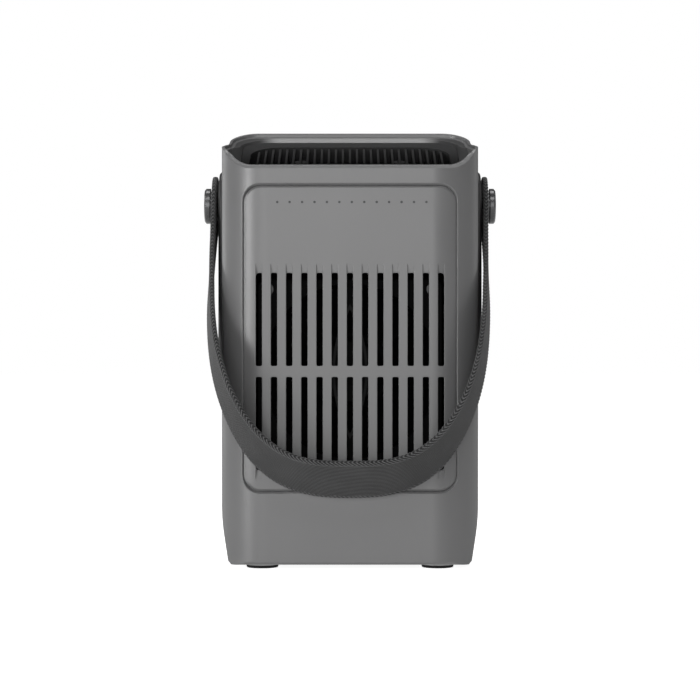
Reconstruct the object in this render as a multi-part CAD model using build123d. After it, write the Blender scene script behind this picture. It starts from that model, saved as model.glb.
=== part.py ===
"""Upright battery box fan: tall grey case, slotted front, sloping top vent and a swinging webbing strap.

Units are millimetres. +Z is up, the front faces -Y, z = 0 is the ground under the feet.
Every sub-part is modelled about the case's own centre line and then moved by CASE_Y, so that
the whole fan, strap and dial included, is centred over the origin.
"""
import math
import os

from build123d import *

os.makedirs("parts", exist_ok=True)

# ---------------------------------------------------------------- case
CASE_Y = 11.6            # case centre, measured from the middle of the whole fan
CASE_W = 130.0           # outer width
CASE_D = 100.0           # outer depth
CASE_R = 15.0            # vertical corner radius
WALL = 3.0
CASE_Z = 2.4             # underside of the case
BOTTOM_R = 2.0           # rounding of the front and back bottom edges
TAPER_Z = 34.0           # the sides start to draw in below this height
TAPER_R = 98.0
TAPER_DEG = 10.0
RIM_FRONT = (-50.0, 201.0)
RIM_RAMP = (-43.6, 208.8)     # top of the straight ramp behind the front wall
RIM_SHOULDER = (-32.0, 213.6)
RIM_SIDE = (0.0, 217.6)
RIM_SWEEP = (34.0, 222.8)
RIM_BACK = (50.0, 229.0)
LIP_W = 1.4              # outer part of the wall that stands proud round the rim
LIP_DROP = 1.6

# ---------------------------------------------------------------- grille panels
PANEL_W = 106.5
PANEL_Z0, PANEL_Z1 = 39.3, 192.4
PANEL_R = 8.5
PANEL_GAP = 0.15
GROOVE = 1.0             # chamfer either side of the seam
REBATE = 1.8             # depth of the seat that holds a panel
REBATE_IN = 3.0
SLOT_COLUMNS = 13
SLOT_PITCH = 7.6
SLOT_W = 3.15
SLOT_ROWS = [(49.75, 96.5), (102.0, 148.6)]
SLOT_R = 0.75
FIELD_R = 1.8            # rounding of the corners of the whole slot field
RAMP_L = 4.6
RAMP_DEPTH = 1.3

# ---------------------------------------------------------------- top vent
VENT_SLOPE = 20.0        # the vent falls this many degrees towards the front
VENT_Z = 207.4           # its height on the centre line
VENT_X = 57.8            # half width of the vent frame
VENT_S0, VENT_S1 = -46.0, 46.6
VENT_R = 14.0
FUNNEL_H = 12.0
FUNNEL_X = 7.6
FUNNEL_BACK = 12.9
FRAME_T = 3.0
HOLE_X = 53.0
HOLE_S0, HOLE_S1 = -40.0, 36.2
HOLE_R = 17.0
FIN_COUNT = 27
FIN_PITCH = 3.76
FIN_T = 1.15
FIN_DEPTH = 8.0
FIN_DROP = 0.9
VENT_BOSSES = [(-26.3, 18.0, 3.6), (26.3, 18.0, 3.6), (0.0, -8.0, 2.6)]

# ---------------------------------------------------------------- strap and pivots
PIVOT_Z = 185.4
STRAP_W = 30.0
STRAP_T = 2.5
STRAP_X = 70.45          # half span at the pivots, middle of the webbing
STRAP_DROP = 153.4
STRAP_STRAIGHT = 23.0
STRAP_POWER = 2.9        # squareness of the loop
STRAP_LEAN = 25.3
STRAP_FORWARD = 13.5     # the sides bow forward by this much past the case corners
STRAP_SWAY = 0.75
STRAP_TWIST = [(0.0, 0.0), (0.15, 3.4), (0.3, 5.0), (0.6, 5.8), (0.8, 9.5), (1.0, 11.5)]
STRAP_STEPS = 16
EYELET_R = 7.5
EYELET_BORE_R = 5.05
SHANK_R = 5.0
PLATE_HALF_W = 18.0
PLATE_PROUD = 3.0
PLATE_Z0 = 89.0
PLATE_CHAMFER = 1.0
KNOB_R = 9.2
KNOB_X0, KNOB_X1 = 73.0, 76.0
BUSH_X1 = 69.05
COLLAR_X0 = 71.85

# ---------------------------------------------------------------- feet
FOOT_X, FOOT_Y = 44.4, 35.0
FOOT_R = 8.7
SEAT_T = 0.9
PAD_R = 8.1

# ---------------------------------------------------------------- fan unit
FAN_Z = 99.2
FAN_SIDE = 92.0
FAN_Y0, FAN_Y1 = -47.0, -22.0
FAN_BORE_R = 44.0
FAN_HOLE = 41.3          # corner hole offset
SPIDER_Y0, SPIDER_Y1 = -46.6, -43.6
LENS_R = 70.0
LENS_HALF_H = 34.0
STRUT_W = 1.3
TUBE_R, BEARING_R, SHAFT_R = 6.5, 5.0, 2.0
BEARING_W = 4.0
BLADES = 7
HUB_R, TIP_R = 19.5, 42.6
BLADE_T = 1.6

# ---------------------------------------------------------------- battery, board and controls
CELL_R, CELL_L = 10.5, 70.0
CELL_ROWS = [17.6, 40.0]
CELL_Y = [-33.0, -11.0, 11.0, 33.0]
BOARD_Y, BOARD_T = 36.4, 1.6
CONTROL_Z = 171.0
DIAL_X, DIAL_R, DIAL_T = 28.0, 8.0, 5.6
BUTTON_X, BUTTON_R = -28.0, 5.0
BUTTON_TRAVEL = 1.5
PORT_X = 0.0


def save(name, shape):
    """Write one sub-part, moved into the frame of the whole fan."""
    moved = Pos(0, CASE_Y, 0) * shape
    moved = Compound(children=moved.solids()) if len(moved.solids()) > 1 else moved.solids()[0]
    export_step(moved, f"parts/{name}.step")
    print(f"{name:16s} solids {len(shape.solids()):2d}  volume {shape.volume:10.1f}")


def plate(w, d, r, x=0.0, y=0.0):
    return Pos(x, y) * RectangleRounded(w, d, r)


def rod(radius, y0, y1, x=0.0, z=0.0):
    """A cylinder along Y between two depths."""
    return Plane.XZ.offset(-y1) * Pos(x, z) * extrude(Circle(radius), y1 - y0)


def rod_x(radius, x0, x1, y=0.0, z=PIVOT_Z):
    """A cylinder along X between two widths, either sign."""
    a, b = min(x0, x1), max(x0, x1)
    return Plane.YZ.offset(a) * Pos(y, z) * extrude(Circle(radius), b - a)


def box(x0, x1, y0, y1, z0, z1):
    return Pos((x0 + x1) / 2, (y0 + y1) / 2, (z0 + z1) / 2) * Box(x1 - x0, y1 - y0, z1 - z0)


# ---------------------------------------------------------------- case
def side_profile(inset):
    """Front view outline of the case, drawn in on both sides towards the bottom."""
    half = CASE_W / 2 - inset
    r = TAPER_R - inset
    cx = half - r
    a = math.radians(TAPER_DEG)
    x1, z1 = cx + r * math.cos(a), TAPER_Z - r * math.sin(a)
    xm, zm = cx + r * math.cos(a / 2), TAPER_Z - r * math.sin(a / 2)
    x0 = x1 - (z1 - CASE_Z) * math.tan(a)
    floor = CASE_Z if inset == 0 else CASE_Z - 5
    xf = x0 if inset == 0 else x1 - (z1 - floor) * math.tan(a)
    lines = [
        Line((half, 240), (half, TAPER_Z)),
        ThreePointArc((half, TAPER_Z), (xm, zm), (x1, z1)),
    ]
    if inset == 0:
        lines += [
            Line((x1, z1), (xf + 0.3, floor + 1.7)),
            Line((xf + 0.3, floor + 1.7), (xf - 1.3, floor)),
        ]
        xf -= 1.3
    else:
        lines += [Line((x1, z1), (xf, floor))]
    lines += [Line((xf, floor), (0, floor)), Line((0, floor), (0, 240)), Line((0, 240), (half, 240))]
    face = make_face(lines)
    return face + mirror(face, about=Plane.YZ)


def rim_curve(drop):
    """Rim seen from the side: ramp, shoulder, nearly level run, then a sweep up to the back."""
    front, ramp, shoulder, side, sweep_, back = [
        (y, z - drop) for y, z in (RIM_FRONT, RIM_RAMP, RIM_SHOULDER, RIM_SIDE, RIM_SWEEP, RIM_BACK)
    ]
    return [
        Line(front, ramp),
        Spline([ramp, shoulder], tangents=[(1, 1.22), (1, 0.12)]),
        Line(shoulder, side),
        Spline([side, sweep_, back], tangents=[(1, 0.12), (1, 0.46)]),
    ]


def rim_profile(drop, inset):
    """Side view outline under the rim curve, with rounded front and back bottom edges."""
    curve = rim_curve(drop)
    y0, y1 = RIM_FRONT[0], RIM_BACK[0]
    z0, z1 = RIM_FRONT[1] - drop, RIM_BACK[1] - drop
    r = BOTTOM_R
    b = CASE_Z
    if inset:
        return make_face(curve + [Line((y1, z1), (y1, b - 5)), Line((y1, b - 5), (y0, b - 5)), Line((y0, b - 5), (y0, z0))])
    k = r * (1 - math.sqrt(0.5))
    return make_face(curve + [
        Line((y1, z1), (y1, b + r)),
        ThreePointArc((y1, b + r), (y1 - k, b + k), (y1 - r, b)),
        Line((y1 - r, b), (y0 + r, b)),
        ThreePointArc((y0 + r, b), (y0 + k, b + k), (y0, b + r)),
        Line((y0, b + r), (y0, z0)),
    ])


def case_block(inset, drop):
    """The case as a full block, drawn in by inset and lowered at the rim by drop."""
    plan = extrude(Pos(0, 0, -5) * plate(CASE_W - 2 * inset, CASE_D - 2 * inset, CASE_R - inset), 250)
    front = extrude(Plane.XZ.offset(-60) * side_profile(inset), 120)
    side = extrude(Plane.YZ.offset(-70) * rim_profile(drop, inset), 140)
    return plan & front & side


def seam_cutter(face):
    """Window for a panel: chamfered mouth, seat, then a smaller hole through the wall."""
    w, h = PANEL_W + 2 * PANEL_GAP, PANEL_Z1 - PANEL_Z0 + 2 * PANEL_GAP
    zc = (PANEL_Z0 + PANEL_Z1) / 2
    mouth = loft([
        face * plate(w + 2 * GROOVE, h + 2 * GROOVE, PANEL_R + GROOVE, 0, zc),
        face.offset(-GROOVE) * plate(w, h, PANEL_R, 0, zc),
    ])
    seat = extrude(face.offset(-REBATE) * plate(w, h, PANEL_R, 0, zc), REBATE - GROOVE)
    hole = extrude(
        face.offset(-WALL - 1) * plate(w - 2 * REBATE_IN, h - 2 * REBATE_IN, PANEL_R - 2, 0, zc),
        WALL + 1 - REBATE,
    )
    return mouth + seat + hole


FRONT = Plane.XZ.offset(CASE_D / 2)
REAR = Plane(origin=(0, CASE_D / 2, 0), x_dir=(-1, 0, 0), z_dir=(0, 1, 0))


def make_shell():
    shell = case_block(0, 0) - case_block(WALL, -30)
    lip = case_block(LIP_W, -30) & extrude(Plane.YZ.offset(-70) * lip_band(), 140)
    shell -= lip
    shell -= seam_cutter(FRONT)
    shell -= seam_cutter(REAR)
    for side in (-1, 1):
        shell -= rod_x(SHANK_R, side * 60, side * 66)
    return shell


def lip_band():
    """Side view band above the lowered inner part of the rim."""
    (y0, z0), (y1, z1) = RIM_FRONT, RIM_BACK
    return make_face(rim_curve(LIP_DROP) + [
        Line((y1, z1 - LIP_DROP), (y1, 245)), Line((y1, 245), (y0, 245)), Line((y0, 245), (y0, z0 - LIP_DROP))
    ])


def make_base():
    return case_block(WALL + 0.15, 0) & box(-70, 70, -60, 60, CASE_Z, CASE_Z + 3.0)


# ---------------------------------------------------------------- grille panels
def slot_field(face):
    """All slots of one panel as one cutter, outer corners of the field rounded."""
    zs = [z for row in SLOT_ROWS for z in row]
    width = (SLOT_COLUMNS - 1) * SLOT_PITCH + SLOT_W
    field = extrude(
        face.offset(-WALL - 2) * plate(width, max(zs) - min(zs), FIELD_R, 0, (max(zs) + min(zs)) / 2), WALL + 4
    )
    cutter = None
    half = (SLOT_COLUMNS - 1) / 2
    for i in range(SLOT_COLUMNS):
        x = (i - half) * SLOT_PITCH
        for z0, z1 in SLOT_ROWS:
            slot = extrude(face.offset(-WALL - 2) * plate(SLOT_W, z1 - z0, SLOT_R, x, (z0 + z1) / 2), WALL + 4)
            cutter = slot if cutter is None else cutter + slot
    return cutter & field


def ramp(face, x, z_slot, z_end):
    """Shallow run-out past the end of a slot."""
    outline = make_face(Polyline((0.2, z_slot), (-RAMP_DEPTH, z_slot), (0, z_end), (0.2, z_end), (0.2, z_slot)))
    out = face.z_dir
    local = Plane(origin=face.from_local_coords((x - SLOT_W / 2, 0, 0)), x_dir=out, z_dir=face.x_dir)
    if local.y_dir.Z < 0:
        local = Plane(origin=face.from_local_coords((x + SLOT_W / 2, 0, 0)), x_dir=out, z_dir=-face.x_dir)
    return extrude(local * outline, SLOT_W)


def panel(face):
    w, h = PANEL_W - 2 * PANEL_GAP, PANEL_Z1 - PANEL_Z0 - 2 * PANEL_GAP
    zc = (PANEL_Z0 + PANEL_Z1) / 2
    body = loft([
        face.offset(-GROOVE) * plate(w, h, PANEL_R, 0, zc),
        face * plate(w - 2 * GROOVE, h - 2 * GROOVE, PANEL_R - GROOVE, 0, zc),
    ])
    body += extrude(face.offset(-REBATE) * plate(w, h, PANEL_R, 0, zc), REBATE - GROOVE)
    inset = REBATE_IN + 0.3
    body += extrude(
        face.offset(-WALL) * plate(w - 2 * inset, h - 2 * inset, PANEL_R - 2.2, 0, zc), WALL - REBATE
    )
    body -= slot_field(face)
    half = (SLOT_COLUMNS - 1) / 2
    for i in range(SLOT_COLUMNS):
        x = (i - half) * SLOT_PITCH
        body -= ramp(face, x, SLOT_ROWS[1][1] - 0.6, SLOT_ROWS[1][1] + RAMP_L)
        body -= ramp(face, x, SLOT_ROWS[0][0] + 0.6, SLOT_ROWS[0][0] - RAMP_L)
    return body


def make_front_panel():
    body = panel(FRONT)
    for sx in (-1, 1):
        for sz in (-1, 1):
            x, z = sx * FAN_HOLE, FAN_Z + sz * FAN_HOLE
            body += rod(3.0, FAN_Y0, FAN_Y0 + 4, x, z) - rod(1.4, FAN_Y0, FAN_Y0 + 4, x, z)
    return body


REAR_SCREWS = [(-46.5, 46.0), (46.5, 46.0), (-46.5, 185.5), (46.5, 185.5)]


def make_rear_panel():
    body = panel(REAR)
    back = CASE_D / 2
    for x, z in REAR_SCREWS:
        body -= rod(1.5, back - 5, back + 1, x, z) + rod(2.9, back - 1.6, back + 1, x, z)
    body -= rod(3.4, back - 5, back + 1, DIAL_X, CONTROL_Z)
    body -= rod(BUTTON_R + 0.3, back - 5, back + 1, BUTTON_X, CONTROL_Z)
    port = Plane.XZ.offset(-back - 1) * plate(9.4, 3.8, 1.85, PORT_X, CONTROL_Z)
    body -= extrude(port, 6)
    return body


def make_rear_screws():
    screws = None
    back = CASE_D / 2
    for x, z in REAR_SCREWS:
        one = rod(2.8, back - 1.6, back - 0.3, x, z) + rod(1.45, back - 9, back - 1.6, x, z)
        one -= Plane.XZ.offset(-back + 0.3) * Pos(x, z) * extrude(RegularPolygon(1.3, 6), 0.9)
        screws = one if screws is None else screws + one
    return screws


# ---------------------------------------------------------------- top vent
VENT = Plane(origin=(0, 0, VENT_Z), x_dir=(1, 0, 0), z_dir=(0, -math.sin(math.radians(VENT_SLOPE)), math.cos(math.radians(VENT_SLOPE))))


def vent_rect(x, s0, s1, r):
    return plate(2 * x, s1 - s0, r, 0, (s0 + s1) / 2)


def make_funnel():
    """Collar between the rim and the sunk vent frame."""
    block = case_block(WALL, LIP_DROP)
    block &= extrude(VENT.offset(-FRAME_T - 2.4) * plate(200, 200, 1), 60)
    void = loft([
        VENT * vent_rect(VENT_X, VENT_S0, VENT_S1, VENT_R),
        VENT.offset(FUNNEL_H) * vent_rect(VENT_X + FUNNEL_X, VENT_S0 - 0.4, VENT_S1 + FUNNEL_BACK, VENT_R + 6),
    ])
    void += extrude(VENT.offset(FUNNEL_H) * vent_rect(VENT_X + FUNNEL_X, VENT_S0 - 0.4, VENT_S1 + FUNNEL_BACK, VENT_R + 6), 30)
    void += extrude(VENT.offset(-FRAME_T) * vent_rect(VENT_X, VENT_S0, VENT_S1, VENT_R), FRAME_T)
    void += extrude(VENT.offset(-FRAME_T - 3) * vent_rect(VENT_X - 2, VENT_S0 + 2, VENT_S1 - 2, VENT_R - 2), 3)
    return block - void


def make_vent():
    """Sunk frame and its thin parallel fins, in one moulding."""
    gap = 0.15
    outline = vent_rect(VENT_X - gap, VENT_S0 + gap, VENT_S1 - gap, VENT_R - gap)
    hole = vent_rect(HOLE_X, HOLE_S0, HOLE_S1, HOLE_R)
    frame = extrude(VENT.offset(-FRAME_T) * outline, FRAME_T) - extrude(VENT.offset(-20) * hole, 30)
    skirt_depth = FIN_DROP + FIN_DEPTH
    skirt = extrude(VENT.offset(-skirt_depth) * vent_rect(HOLE_X + 1.6, HOLE_S0 - 1.6, HOLE_S1 + 1.6, HOLE_R + 1.6), skirt_depth)
    skirt -= extrude(VENT.offset(-20) * hole, 30)
    body = frame + skirt
    bars = None
    half = (FIN_COUNT - 1) // 2
    for i in range(-half, half + 1):
        bar = extrude(
            VENT.offset(-skirt_depth) * Pos(i * FIN_PITCH, (HOLE_S0 + HOLE_S1) / 2)
            * Rectangle(FIN_T, HOLE_S1 - HOLE_S0 + 1.0),
            FIN_DEPTH,
        )
        bars = bar if bars is None else bars + bar
    clip = extrude(VENT.offset(-20) * vent_rect(HOLE_X + 0.4, HOLE_S0 - 0.4, HOLE_S1 + 0.4, HOLE_R + 0.4), 30)
    body += bars & clip
    for x, s, r in VENT_BOSSES:
        body += extrude(VENT.offset(-skirt_depth) * Pos(x, s) * Circle(r), FIN_DEPTH - 2.6)
    return body


# ---------------------------------------------------------------- pivots, side plates and strap
def make_side_plate(side):
    z1 = PIVOT_Z + PLATE_HALF_W
    length = z1 - PLATE_Z0
    x0 = side * CASE_W / 2
    face = Plane(origin=(x0, 0, 0), x_dir=(0, 1, 0), z_dir=(side, 0, 0))
    zc = (z1 + PLATE_Z0) / 2
    if face.y_dir.Z < 0:
        face = Plane(origin=(x0, 0, 0), x_dir=(0, -1, 0), z_dir=(side, 0, 0))
    full = Pos(0, zc) * SlotOverall(length, 2 * PLATE_HALF_W, rotation=90)
    small = Pos(0, zc) * SlotOverall(length - 2 * PLATE_CHAMFER, 2 * (PLATE_HALF_W - PLATE_CHAMFER), rotation=90)
    flat = PLATE_PROUD - PLATE_CHAMFER
    body = extrude(face * full, flat) + loft([face.offset(flat) * full, face.offset(PLATE_PROUD) * small])
    return body - rod_x(SHANK_R, side * 60, side * 70)


def make_bush(side):
    x0 = side * (CASE_W / 2 + PLATE_PROUD)
    return rod_x(8.0, x0, side * BUSH_X1) - rod_x(SHANK_R, side * 60, side * 75)


def make_knob(side):
    """Shoulder screw: slightly domed head, collar, smooth shank and a stub for the nut."""
    head = rod_x(KNOB_R, side * KNOB_X0, side * (KNOB_X1 - 0.8))
    tip = Plane(origin=(side * (KNOB_X1 - 0.8), 0, PIVOT_Z), x_dir=(0, 1, 0), z_dir=(side, 0, 0))
    head += loft([tip * Circle(KNOB_R), tip.offset(0.8) * Circle(KNOB_R - 0.9)])
    head -= extrude(tip.offset(0.8) * Circle(3.2), -1.0)
    head += rod_x(7.0, side * COLLAR_X0, side * KNOB_X0)
    return head + rod_x(SHANK_R, side * 56, side * COLLAR_X0)


def make_nut(side):
    face = Plane.YZ.offset(min(side * 57.4, side * 62))
    nut = face * Pos(0, PIVOT_Z) * extrude(RegularPolygon(9.0, 6), 4.6)
    return nut - rod_x(SHANK_R, side * 50, side * 70)


def strap_twist(u):
    for (u0, a0), (u1, a1) in zip(STRAP_TWIST, STRAP_TWIST[1:]):
        if u <= u1:
            k = (u - u0) / (u1 - u0)
            k = k * k * (3 - 2 * k) * 0.35 + k * 0.65
            return a0 + (a1 - a0) * k
    return STRAP_TWIST[-1][1]


def strap_line():
    """Half width and drop of the loop, from the left pivot to the right one."""
    half = [(-STRAP_X, STRAP_STRAIGHT * i / 3) for i in range(3)]
    for i in range(STRAP_STEPS + 1):
        t = math.pi / 2 * i / STRAP_STEPS
        x = STRAP_X * max(math.cos(t), 0.0) ** (2 / STRAP_POWER)
        s = STRAP_STRAIGHT + (STRAP_DROP - STRAP_STRAIGHT) * math.sin(t) ** (2 / STRAP_POWER)
        half.append((-x, s))
    return half + [(-x, s) for x, s in reversed(half[:-1])]


def strap_planes():
    """Section planes along the webbing: x across its width, y through its thickness."""
    lean = math.radians(STRAP_LEAN)
    down = Vector(0, -math.sin(lean), -math.cos(lean))
    forward = Vector(0, -math.cos(lean), math.sin(lean))
    line = strap_line()
    flat = [(x - STRAP_SWAY * math.sin(math.pi * s / STRAP_DROP), s) for x, s in line]
    arc = [0.0]
    for (xa, sa), (xb, sb) in zip(flat, flat[1:]):
        arc.append(arc[-1] + math.hypot(xb - xa, sb - sa))
    planes = []
    for i, (x, s) in enumerate(flat):
        xa, sa = flat[max(i - 1, 0)]
        xb, sb = flat[min(i + 1, len(flat) - 1)]
        n = math.hypot(xb - xa, sb - sa)
        tx, ts = (xb - xa) / n, (sb - sa) / n
        if i in (0, len(flat) - 1):
            tx, ts = 0.0, (1.0 if i == 0 else -1.0)
        inward = Vector(ts, 0, 0) - down * tx
        u = 1 - abs(1 - 2 * arc[i] / arc[-1])
        b = math.radians(strap_twist(u))
        bow = STRAP_FORWARD * math.sin(math.pi * (s / STRAP_DROP) ** 2)
        centre = Vector(x, 0, PIVOT_Z) + down * s + forward * bow
        across = forward * math.cos(b) + inward * math.sin(b)
        through = inward * math.cos(b) - forward * math.sin(b)
        planes.append(Plane(origin=centre, x_dir=across, z_dir=across.cross(through)))
    return planes


def make_webbing():
    band = loft([p * Rectangle(STRAP_W, STRAP_T) for p in strap_planes()])
    for side in (-1, 1):
        a, b = side * (STRAP_X - STRAP_T / 2), side * (STRAP_X + STRAP_T / 2)
        band += rod_x(STRAP_W / 2, a, b)
    for side in (-1, 1):
        band -= rod_x(EYELET_R, side * 60, side * 80)
    return band


def make_eyelet(side):
    a, b = side * (STRAP_X - STRAP_T / 2), side * (STRAP_X + STRAP_T / 2)
    return rod_x(EYELET_R, a, b) - rod_x(EYELET_BORE_R, side * 60, side * 80)


# ---------------------------------------------------------------- feet
def feet_places():
    return {"fl": (-FOOT_X, -FOOT_Y), "fr": (FOOT_X, -FOOT_Y), "bl": (-FOOT_X, FOOT_Y), "br": (FOOT_X, FOOT_Y)}


def make_seats():
    seats = None
    for x, y in feet_places().values():
        seat = Pos(x, y, CASE_Z - SEAT_T) * extrude(Circle(FOOT_R) - Circle(3.0), SEAT_T)
        seats = seat if seats is None else seats + seat
    return seats


def make_foot(x, y):
    pad = Pos(x, y, 0) * loft([Circle(PAD_R - 0.4), Pos(0, 0, 0.4) * Circle(PAD_R)])
    pad += Pos(x, y, 0.4) * extrude(Circle(PAD_R), CASE_Z - SEAT_T - 0.4)
    return pad + Pos(x, y, CASE_Z - SEAT_T) * extrude(Circle(2.9), SEAT_T)


# ---------------------------------------------------------------- fan unit
def make_fan_frame():
    depth = FAN_Y1 - FAN_Y0
    body = Plane.XZ.offset(-FAN_Y1) * extrude(plate(FAN_SIDE, FAN_SIDE, 4, 0, FAN_Z), depth)
    body -= rod(FAN_BORE_R, FAN_Y0 - 1, FAN_Y1 + 1, 0, FAN_Z)
    waist = Plane.XZ.offset(-FAN_Y1 + 4.5) * extrude(
        plate(FAN_SIDE + 4, FAN_SIDE + 4, 4, 0, FAN_Z) - Pos(0, FAN_Z) * Circle(FAN_BORE_R + 1.6), depth - 9
    )
    body -= waist
    for sx in (-1, 1):
        for sz in (-1, 1):
            x, z = sx * FAN_HOLE, FAN_Z + sz * FAN_HOLE
            body -= rod(3.05, FAN_Y0 - 1, FAN_Y0 + 4.6, x, z) + rod(1.6, FAN_Y0, FAN_Y1 + 1, x, z)
    return body


def make_fan_screws():
    screws = None
    for sx in (-1, 1):
        for sz in (-1, 1):
            x, z = sx * FAN_HOLE, FAN_Z + sz * FAN_HOLE
            one = rod(1.4, FAN_Y0 + 0.4, FAN_Y1, x, z) + rod(2.8, FAN_Y1, FAN_Y1 + 1.8, x, z)
            screws = one if screws is None else screws + one
    return screws


def make_spider():
    """Lens-shaped pair of bowed struts, a disc for the motor and three struts out to the frame."""
    t = SPIDER_Y1 - SPIDER_Y0
    cx = math.sqrt(LENS_R**2 - LENS_HALF_H**2)
    outer = (Pos(-cx, 0) * Circle(LENS_R)) & (Pos(cx, 0) * Circle(LENS_R))
    inner = (Pos(-cx, 0) * Circle(LENS_R - STRUT_W)) & (Pos(cx, 0) * Circle(LENS_R - STRUT_W))
    sketch = outer - inner
    for sz in (-1, 1):
        sketch += Pos(0, sz * (LENS_HALF_H + 6)) * Rectangle(2.2, 16)
    for a in (0, 180):
        sketch += Rot(0, 0, a) * Pos(29, 0) * Rectangle(34, 2.2)
    sketch += Circle(15.0)
    sketch -= Circle(TUBE_R)
    body = Plane.XZ.offset(-SPIDER_Y1) * Pos(0, FAN_Z) * extrude(sketch, t)
    return body & rod(FAN_BORE_R, SPIDER_Y0, SPIDER_Y1, 0, FAN_Z)


def make_tube():
    y0, y1 = SPIDER_Y0, -25.6
    body = rod(TUBE_R, y0, y1, 0, FAN_Z)
    body -= rod(SHAFT_R + 0.5, y0 + 1.0, y1, 0, FAN_Z)
    body -= rod(BEARING_R, y0 + 3.0, y0 + 3.0 + BEARING_W, 0, FAN_Z)
    body -= rod(BEARING_R, y1 - BEARING_W, y1, 0, FAN_Z)
    # the front bearing goes in from the back, so the tube is open at that width behind it
    body -= rod(BEARING_R, y0 + 3.0, y1, 0, FAN_Z)
    return body


def make_bearing(y0):
    return rod(BEARING_R, y0, y0 + BEARING_W, 0, FAN_Z) - rod(SHAFT_R + 0.04, y0 - 1, y0 + BEARING_W + 1, 0, FAN_Z)


def stator_sketch():
    core = Circle(8.6) - Circle(TUBE_R)
    for k in range(6):
        core += Rot(0, 0, 60 * k) * Pos(10.3, 0) * Rectangle(4.6, 2.6)
    shoes = Circle(13.4) - Circle(12.2)
    for k in range(6):
        shoes -= Rot(0, 0, 60 * k + 30) * Pos(13, 0) * Rectangle(4, 2.2)
    return core + shoes


def make_stator():
    body = Plane.XZ.offset(29.0) * Pos(0, FAN_Z) * extrude(stator_sketch(), 10)
    return body


def make_coils():
    coils = None
    for k in range(6):
        ring = Pos(10.4, 0) * Rectangle(3.0, 5.4)
        turn = Plane.XZ.offset(28.0) * Pos(0, FAN_Z) * Rot(0, 0, 60 * k) * extrude(ring, 12)
        core = Plane.XZ.offset(29.0) * Pos(0, FAN_Z) * Rot(0, 0, 60 * k) * Pos(10.3, 0) * extrude(Rectangle(8, 2.6), 10)
        one = turn - core
        coils = one if coils is None else coils + one
    return coils


def make_motor_board():
    return rod(15.0, SPIDER_Y1, SPIDER_Y1 + 1.6, 0, FAN_Z) - rod(TUBE_R, SPIDER_Y1 - 1, SPIDER_Y1 + 2, 0, FAN_Z)


def make_rotor_cup():
    body = rod(17.5, -41.0, -24.2, 0, FAN_Z) - rod(16.5, -42.0, -25.2, 0, FAN_Z)
    return body - rod(SHAFT_R + 1.0, -26, -23, 0, FAN_Z)


def make_magnet():
    return rod(16.5, -40.5, -26.5, 0, FAN_Z) - rod(14.3, -42.0, -25.0, 0, FAN_Z)


def make_shaft():
    body = rod(SHAFT_R, -45.2, -21.6, 0, FAN_Z)
    return body


def blade():
    """One blade along +X before it is turned round the hub, coarse pitch at the root."""
    sections = []
    for r, chord, pitch in ((HUB_R - 1.2, 17.5, 46.0), (30.0, 20.5, 36.0), (TIP_R + 1.5, 22.0, 28.0)):
        a = math.radians(pitch)
        plane = Plane(origin=(r, 0, 0), x_dir=(0, math.sin(a), math.cos(a)), z_dir=(1, 0, 0))
        sections.append(plane * Pos(0, 0) * SlotOverall(chord, BLADE_T))
    return loft(sections)


def make_impeller():
    hub = rod(HUB_R, -41.4, -22.4, 0, FAN_Z)
    hub -= rod(17.5, -43.0, -24.2, 0, FAN_Z)
    hub += rod(SHAFT_R + 1.0, -25.2, -22.4, 0, FAN_Z)
    hub -= rod(SHAFT_R, -45, -20, 0, FAN_Z)
    outer = rod(TIP_R, -42.4, -23.0, 0, FAN_Z) - rod(HUB_R - 0.6, -45.0, -20.0, 0, FAN_Z)
    for k in range(BLADES):
        one = Pos(0, -32.7, FAN_Z) * Rot(0, 360 / BLADES * k, 0) * blade()
        hub += one & outer
    return hub


# ---------------------------------------------------------------- battery
def make_cells():
    cells = None
    for y in CELL_Y:
        for z in CELL_ROWS:
            cell = rod_x(CELL_R, -CELL_L / 2, CELL_L / 2, y, z)
            cells = cell if cells is None else cells + cell
    return cells


def make_tray():
    """Two end combs that carry the cells, joined by a floor rail."""
    z0 = CASE_Z + 3.0
    body = None
    for side in (-1, 1):
        x0, x1 = sorted((side * 28.0, side * 38.0))
        comb = box(x0, x1, -45.5, 45.5, z0, 51.4)
        for y in CELL_Y:
            for z in CELL_ROWS:
                comb -= rod_x(CELL_R + 0.1, x0 if side > 0 else x0 + 2, x1 - 2 if side > 0 else x1, y, z)
        body = comb if body is None else body + comb
    return body + box(-28, 28, -2, 2, z0, z0 + 1.2)


# ---------------------------------------------------------------- board and controls
def make_board():
    body = box(-44, 44, BOARD_Y, BOARD_Y + BOARD_T, 156, 186.5)
    for sx in (-1, 1):
        for z in (159.5, 183.0):
            body -= rod(1.5, BOARD_Y - 1, BOARD_Y + 3, sx * 40.5, z)
    return body


BOARD_PARTS = [(-18, -8, 3.0, 160, 168), (4, 16, 4.2, 160, 170), (-6, 0, 2.0, 175, 182), (20, 27, 6.0, 176, 183)]


def make_board_parts():
    parts = None
    for x0, x1, h, z0, z1 in BOARD_PARTS:
        one = box(x0, x1, BOARD_Y - h, BOARD_Y, z0, z1)
        parts = one if parts is None else parts + one
    for z in (162.0, 172.0):
        parts += rod(3.1, BOARD_Y - 9.5, BOARD_Y, 33.0, z)
    return parts


def make_board_posts():
    """Spacers between the board and the rear panel."""
    posts = None
    for sx in (-1, 1):
        for z in (159.5, 183.0):
            post = rod(2.6, BOARD_Y + BOARD_T, CASE_D / 2 - WALL, sx * 40.5, z)
            post += rod(1.45, BOARD_Y, BOARD_Y + BOARD_T, sx * 40.5, z)
            posts = post if posts is None else posts + post
    return posts


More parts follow.
